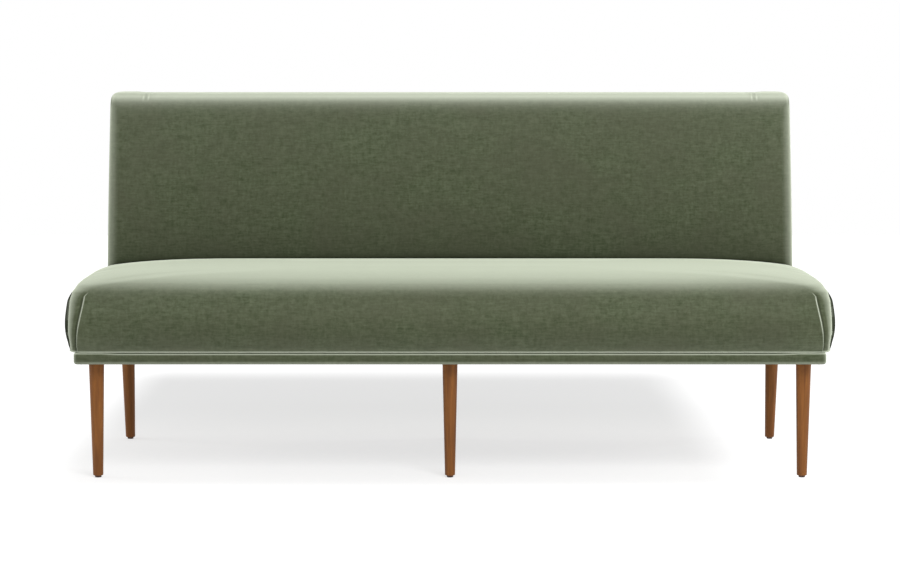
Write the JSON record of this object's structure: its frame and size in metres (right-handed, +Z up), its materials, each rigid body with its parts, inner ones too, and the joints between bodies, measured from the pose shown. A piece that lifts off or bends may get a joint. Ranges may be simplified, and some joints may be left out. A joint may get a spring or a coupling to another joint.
{
  "type": "upholstered dining bench",
  "caption": "Armless upholstered dining bench with a crowned velvet seat, pleated corners, a raked padded back and round tapered wooden legs.",
  "frame": {"origin": "on the floor, under the middle of the bench's box", "axes": "+X along the bench to the right as seen from the front, +Y to the rear, +Z up; the sitter faces -Y"},
  "size_m": [1.8294, 0.7101, 0.908],
  "materials": {
    "velvet": "short cut pile velvet, sage green, soft sheen at grazing angles",
    "leg_wood": "straight grained hardwood, walnut brown stain, satin lacquer",
    "frame_wood": "plain sawn hardwood, unfinished",
    "back_board": "thin fibreboard, unfinished",
    "foam": "open cell upholstery foam",
    "webbing": "elastic upholstery webbing, ribbed weave",
    "dust_cloth": "black non-woven dust cloth",
    "steel": "zinc plated",
    "glide_plastic": "moulded nylon, dark brown"
  },
  "bodies": {
    "root": {"front_band_cover": "velvet", "rear_band_cover": "velvet", "left_band_cover": "velvet", "right_band_cover": "velvet", "seat_cover": "velvet", "inside_back_cover": "velvet", "outside_back_cover": "velvet", "front_left_leg": "leg_wood", "front_centre_leg": "leg_wood", "front_right_leg": "leg_wood", "rear_left_leg": "leg_wood", "rear_centre_leg": "leg_wood", "rear_right_leg": "leg_wood", "platform_front_rail": "frame_wood", "platform_rear_rail": "frame_wood", "platform_left_rail": "frame_wood", "platform_right_rail": "frame_wood", "platform_cross_rail": "frame_wood", "seat_front_rail": "frame_wood", "seat_rear_rail": "frame_wood", "seat_left_rail": "frame_wood", "seat_right_rail": "frame_wood", "seat_centre_rail": "frame_wood", "seat_corner_blocks": "frame_wood", "left_back_post": "frame_wood", "centre_back_post": "frame_wood", "right_back_post": "frame_wood", "back_top_rail": "frame_wood", "left_lower_back_rail": "frame_wood", "right_lower_back_rail": "frame_wood", "outside_back_board": "back_board", "seat_foam": "foam", "front_foam_roll": "foam", "left_foam_roll": "foam", "right_foam_roll": "foam", "back_foam": "foam", "back_top_roll": "foam", "seat_cross_webbing": "webbing", "seat_long_webbing": "webbing", "back_upright_webbing": "webbing", "back_long_webbing": "webbing", "dust_cover": "dust_cloth", "hanger_bolts": "steel", "leg_tee_nuts": "steel", "seat_box_screws": "steel", "back_post_screws": "steel", "foot_glides": "glide_plastic"}
  },
  "joints": []
}
